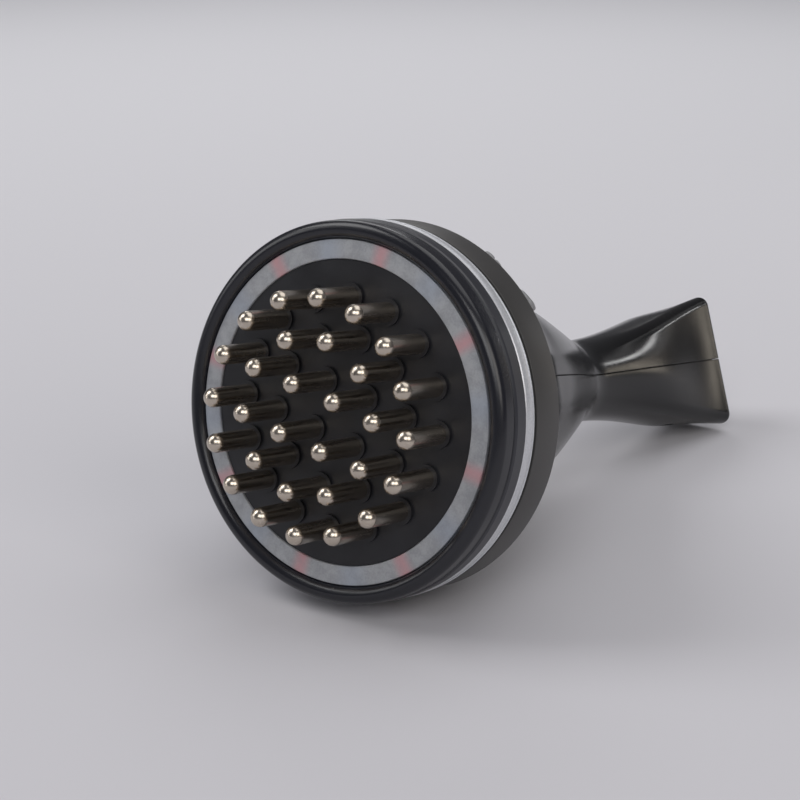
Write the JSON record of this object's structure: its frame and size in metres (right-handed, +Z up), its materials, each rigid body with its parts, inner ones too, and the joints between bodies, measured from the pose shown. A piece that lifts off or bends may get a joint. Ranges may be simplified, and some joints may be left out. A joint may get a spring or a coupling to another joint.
{
  "type": "light therapy body massager",
  "caption": "Hand-held body massager with a round head of metal pins inside a light ring, two keys behind the rim and a flared grip.",
  "frame": {"origin": "on the ground under the middle of the whole device's box", "axes": "+Z up; +Y from the pins towards the end of the grip, +X to the right seen from the pins' side; the device lies on its head's rear edge and its grip's end"},
  "size_m": [0.1008, 0.229, 0.1031],
  "materials": {
    "plate": "matte black moulded plastic",
    "pins": "polished nickel plate",
    "nuts": "plain turned",
    "board": "green solder resist",
    "white_board": "white solder resist",
    "rubber": "soft black",
    "screws": "plain",
    "lens": "frosted, lets light through",
    "red_lamp": "clear red",
    "blue_lamp": "clear blue",
    "bezel": "satin black",
    "housing": "satin black",
    "trim": "satin light grey",
    "rear": "satin charcoal",
    "shell": "glossy black",
    "key": "satin dark grey",
    "chip": "moulded black",
    "coil": "ferrite core and winding",
    "plunger": "natural",
    "can": "plated can",
    "magnet": "sintered",
    "shaft": "ground",
    "copper": "wound laminated core",
    "weight": "sintered",
    "strap": "pressed",
    "wire": "insulated wire",
    "cell": "sleeved cell",
    "tabs": "nickel strip",
    "socket": "plated sheet"
  },
  "bodies": {
    "body": {"pin_plate": "plate", "electrode_pins_outer": "pins", "electrode_pins_middle": "pins", "electrode_pins_inner": "pins", "pin_nuts": "nuts", "contact_board": "board", "plate_gasket": "rubber", "plate_screws": "screws", "light_ring": "lens", "led_board": "white_board", "red_leds": "red_lamp", "blue_leds": "blue_lamp", "front_bezel": "bezel", "head_housing": "housing", "trim_ring": "trim", "seal_ring": "rubber", "rear_ring": "rear", "drum_screws": "screws", "control_board": "board", "pulse_transformer": "coil", "board_parts": "chip", "board_screws": "screws", "contact_leads": "wire", "upper_shell": "shell", "lower_shell": "shell", "shell_screws": "screws", "screw_plugs": "rubber", "key_switches": "chip", "key_board": "board", "key_board_screw": "screws", "motor_can": "can", "motor_magnets": "magnet", "motor_bracket": "strap", "bracket_screws": "screws", "motor_leads": "wire", "battery_cell": "cell", "battery_tabs": "tabs", "battery_leads": "wire", "charge_board": "board", "charge_socket": "socket", "charge_screws": "screws"},
    "power_key": {"power_key": "key", "power_plunger": "plunger"},
    "mode_key": {"mode_key": "key", "mode_plunger": "plunger"},
    "rotor": {"rotor_shaft": "shaft", "rotor_armature": "copper", "eccentric_weight": "weight"}
  },
  "joints": [
    {"name": "power_key_slide", "type": "slide", "parent": "body", "child": "power_key", "axis": [-0.5203, -0.6302, -0.5763], "range_m": [0, 0.0005], "stiffness_N_per_m": 1500, "springref_m": -0.0003},
    {"name": "mode_key_slide", "type": "slide", "parent": "body", "child": "mode_key", "axis": [-0.5203, -0.6302, -0.5763], "range_m": [0, 0.0005], "stiffness_N_per_m": 1500, "springref_m": -0.0003},
    {"name": "rotor_spin", "type": "hinge", "parent": "body", "child": "rotor", "pos_m": [0.00064, -0.05907, 0.03451], "axis": [0, -0.9861, 0.1664], "continuous": true}
  ]
}
